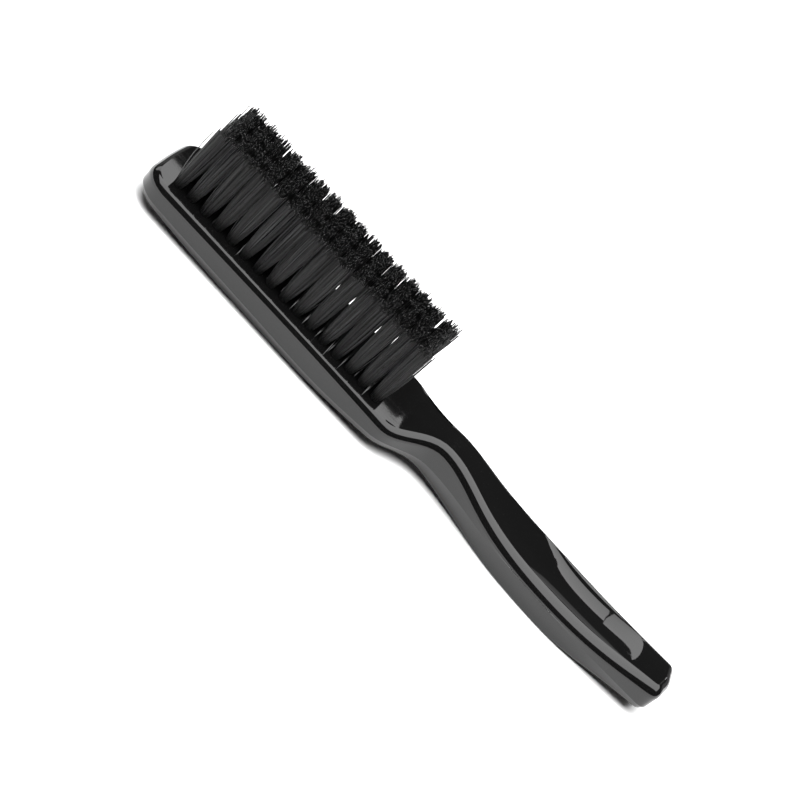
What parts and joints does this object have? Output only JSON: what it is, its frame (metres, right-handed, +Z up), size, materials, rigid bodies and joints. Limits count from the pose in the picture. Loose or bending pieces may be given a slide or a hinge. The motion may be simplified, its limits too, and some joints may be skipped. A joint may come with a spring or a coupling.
{
  "type": "fade brush",
  "caption": "Barber's fade brush: black moulded head and waisted S-curved handle in one piece, with rows of stapled black nylon tufts trimmed flat.",
  "frame": {"origin": "on the surface that the brush's back rests on, under the middle of its length and width", "axes": "+X from the head's tip to the handle's butt, +Y across the brush, +Z up, out of the bristles"},
  "size_m": [0.186, 0.0314, 0.0298],
  "materials": {
    "moulding": "black gloss injection moulding",
    "filament": "black straight nylon filament, trimmed ends",
    "anchor_wire": "flat drawn anchor wire"
  },
  "bodies": {
    "root": {"handle_and_head": "moulding", "tuft_row_01": "filament", "tuft_row_02": "filament", "tuft_row_03": "filament", "tuft_row_04": "filament", "tuft_row_05": "filament", "tuft_row_06": "filament", "tuft_row_07": "filament", "tuft_row_08": "filament", "tuft_row_09": "filament", "tuft_row_10": "filament", "tuft_row_11": "filament", "tuft_row_12": "filament", "tuft_row_13": "filament", "tuft_row_14": "filament", "tuft_row_15": "filament", "tuft_row_16": "filament", "anchor_row_01": "anchor_wire", "anchor_row_02": "anchor_wire", "anchor_row_03": "anchor_wire", "anchor_row_04": "anchor_wire", "anchor_row_05": "anchor_wire", "anchor_row_06": "anchor_wire", "anchor_row_07": "anchor_wire", "anchor_row_08": "anchor_wire", "anchor_row_09": "anchor_wire", "anchor_row_10": "anchor_wire", "anchor_row_11": "anchor_wire", "anchor_row_12": "anchor_wire", "anchor_row_13": "anchor_wire", "anchor_row_14": "anchor_wire", "anchor_row_15": "anchor_wire", "anchor_row_16": "anchor_wire"}
  },
  "joints": []
}
